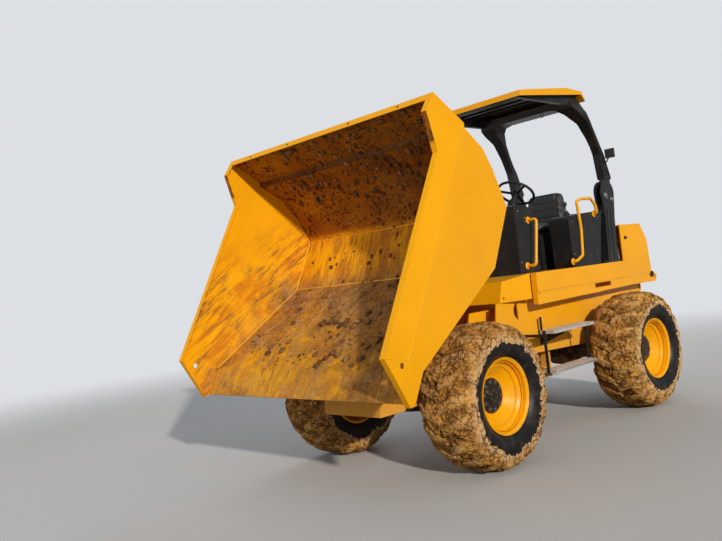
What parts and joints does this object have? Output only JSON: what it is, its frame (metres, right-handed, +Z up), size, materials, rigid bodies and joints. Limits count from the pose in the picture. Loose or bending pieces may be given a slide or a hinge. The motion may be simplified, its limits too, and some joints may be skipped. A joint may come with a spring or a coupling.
{
  "type": "site dumper",
  "caption": "Four-wheel centre-articulated site dumper with a wide forward-tipping skip, open operator platform, folding roll bar with roof, and a rear engine hood.",
  "frame": {"origin": "centre of the machine's outline box on the ground", "axes": "+X forward, +Y to the operator's left, +Z up"},
  "size_m": [5.2251, 2.5, 3.3149],
  "materials": {
    "skip_paint": "worn satin yellow, mud inside",
    "yellow_paint": "satin yellow",
    "black_paint": "satin black",
    "axle_paint": "dusty black",
    "hub_black": "dusty black",
    "black_plastic": "grained",
    "seat_vinyl": "soft vinyl",
    "engine_iron": "oily",
    "ram_chrome": "polished",
    "tread_alloy": "worn, dusty",
    "tyre": "matt rubber caked with dried mud",
    "lamp_lens": "moulded lens"
  },
  "bodies": {
    "rear": {"rear_frame": "yellow_paint", "frame_sides": "yellow_paint", "rear_axle": "axle_paint", "side_decks": "yellow_paint", "platform": "yellow_paint", "front_console": "black_plastic", "steering_wheel": "black_plastic", "seat_base": "black_plastic", "seat_cushion": "seat_vinyl", "seat_back": "seat_vinyl", "moulded_covers": "black_plastic", "handrails": "yellow_paint", "engine_block": "engine_iron", "gearbox": "engine_iron", "side_tank": "black_paint", "step_treads": "tread_alloy", "step_stiles": "black_paint", "rear_lamps": "lamp_lens", "lower_posts": "black_paint"},
    "hood": {"engine_hood": "yellow_paint"},
    "roll_bar": {"roll_bar": "black_paint", "roof_skin": "yellow_paint", "mirror": "black_plastic"},
    "pivot": {"centre_pivot": "axle_paint"},
    "front": {"front_frame": "yellow_paint", "front_axle": "axle_paint"},
    "skip": {"skip_tub": "skip_paint", "skip_frame": "yellow_paint"},
    "steer_barrel": {"steering_ram_barrel": "axle_paint"},
    "steer_rod": {"steering_ram_rod": "ram_chrome"},
    "tip_barrel_left": {"tip_ram_left_barrel": "axle_paint"},
    "tip_rod_left": {"tip_ram_left_rod": "ram_chrome"},
    "tip_barrel_right": {"tip_ram_right_barrel": "axle_paint"},
    "tip_rod_right": {"tip_ram_right_rod": "ram_chrome"},
    "wheel_front_left": {"tyre_front_left": "tyre", "rim_front_left": "yellow_paint", "hub_front_left": "hub_black"},
    "wheel_front_right": {"tyre_front_right": "tyre", "rim_front_right": "yellow_paint", "hub_front_right": "hub_black"},
    "wheel_rear_left": {"tyre_rear_left": "tyre", "rim_rear_left": "yellow_paint", "hub_rear_left": "hub_black"},
    "wheel_rear_right": {"tyre_rear_right": "tyre", "rim_rear_right": "yellow_paint", "hub_rear_right": "hub_black"}
  },
  "joints": [
    {"name": "steer", "type": "hinge", "parent": "rear", "child": "pivot", "pos_m": [0.108, 0, 0.71], "axis": [0, 0, 1], "range_deg": [-32, 32]},
    {"name": "oscillate", "type": "hinge", "parent": "pivot", "child": "front", "pos_m": [0.108, 0, 0.71], "axis": [1, 0, 0], "range_deg": [-10, 10]},
    {"name": "skip_tip", "type": "hinge", "parent": "front", "child": "skip", "pos_m": [1.503, 0, 1.27], "axis": [0, 1, 0], "range_deg": [-62.4, 0]},
    {"name": "roll_bar_fold", "type": "hinge", "parent": "rear", "child": "roll_bar", "pos_m": [-1.722, 0, 2.17], "axis": [0, 1, 0], "range_deg": [-95, 0]},
    {"name": "hood_open", "type": "hinge", "parent": "rear", "child": "hood", "pos_m": [-2.464, 0, 1.3103], "axis": [0, -1, 0], "range_deg": [0, 60]},
    {"name": "steer_barrel_swing", "type": "hinge", "parent": "rear", "child": "steer_barrel", "pos_m": [-0.492, 0.32, 0.5], "axis": [0, 0, 1], "range_deg": [-4.6, 4.6]},
    {"name": "steer_rod_slide", "type": "slide", "parent": "steer_barrel", "child": "steer_rod", "axis": [0.9871, -0.1601, 0], "range_m": [-0.1215, 0.1215]},
    {"name": "front_left_wheel", "type": "hinge", "parent": "front", "child": "wheel_front_left", "pos_m": [1.146, 0.845, 0.586], "axis": [0, 1, 0], "continuous": true},
    {"name": "front_right_wheel", "type": "hinge", "parent": "front", "child": "wheel_front_right", "pos_m": [1.146, -0.845, 0.586], "axis": [0, 1, 0], "continuous": true},
    {"name": "rear_left_wheel", "type": "hinge", "parent": "rear", "child": "wheel_rear_left", "pos_m": [-1.43, 0.845, 0.586], "axis": [0, 1, 0], "continuous": true},
    {"name": "rear_right_wheel", "type": "hinge", "parent": "rear", "child": "wheel_rear_right", "pos_m": [-1.43, -0.845, 0.586], "axis": [0, 1, 0], "continuous": true},
    {"name": "tip_barrel_left_swing", "type": "hinge", "parent": "front", "child": "tip_barrel_left", "pos_m": [0.718, 0.24, 0.5], "axis": [0, -1, 0], "range_deg": [-6.5, 0]},
    {"name": "tip_rod_left_slide", "type": "slide", "parent": "tip_barrel_left", "child": "tip_rod_left", "axis": [0.4459, 0, 0.8951], "range_m": [-0.363, 0]},
    {"name": "tip_barrel_right_swing", "type": "hinge", "parent": "front", "child": "tip_barrel_right", "pos_m": [0.718, -0.24, 0.5], "axis": [0, -1, 0], "range_deg": [-6.5, 0]},
    {"name": "tip_rod_right_slide", "type": "slide", "parent": "tip_barrel_right", "child": "tip_rod_right", "axis": [0.4459, 0, 0.8951], "range_m": [-0.363, 0]}
  ],
  "couplings": [
    {"joint": "steer_barrel_swing", "follows": "steer", "ratio": 0.1395},
    {"joint": "steer_rod_slide", "follows": "steer", "m_per_rad": -0.2157},
    {"joint": "tip_barrel_left_swing", "follows": "skip_tip", "ratio": 0.1023},
    {"joint": "tip_rod_left_slide", "follows": "skip_tip", "m_per_rad": 0.3322},
    {"joint": "tip_barrel_right_swing", "follows": "skip_tip", "ratio": 0.1023},
    {"joint": "tip_rod_right_slide", "follows": "skip_tip", "m_per_rad": 0.3322}
  ]
}
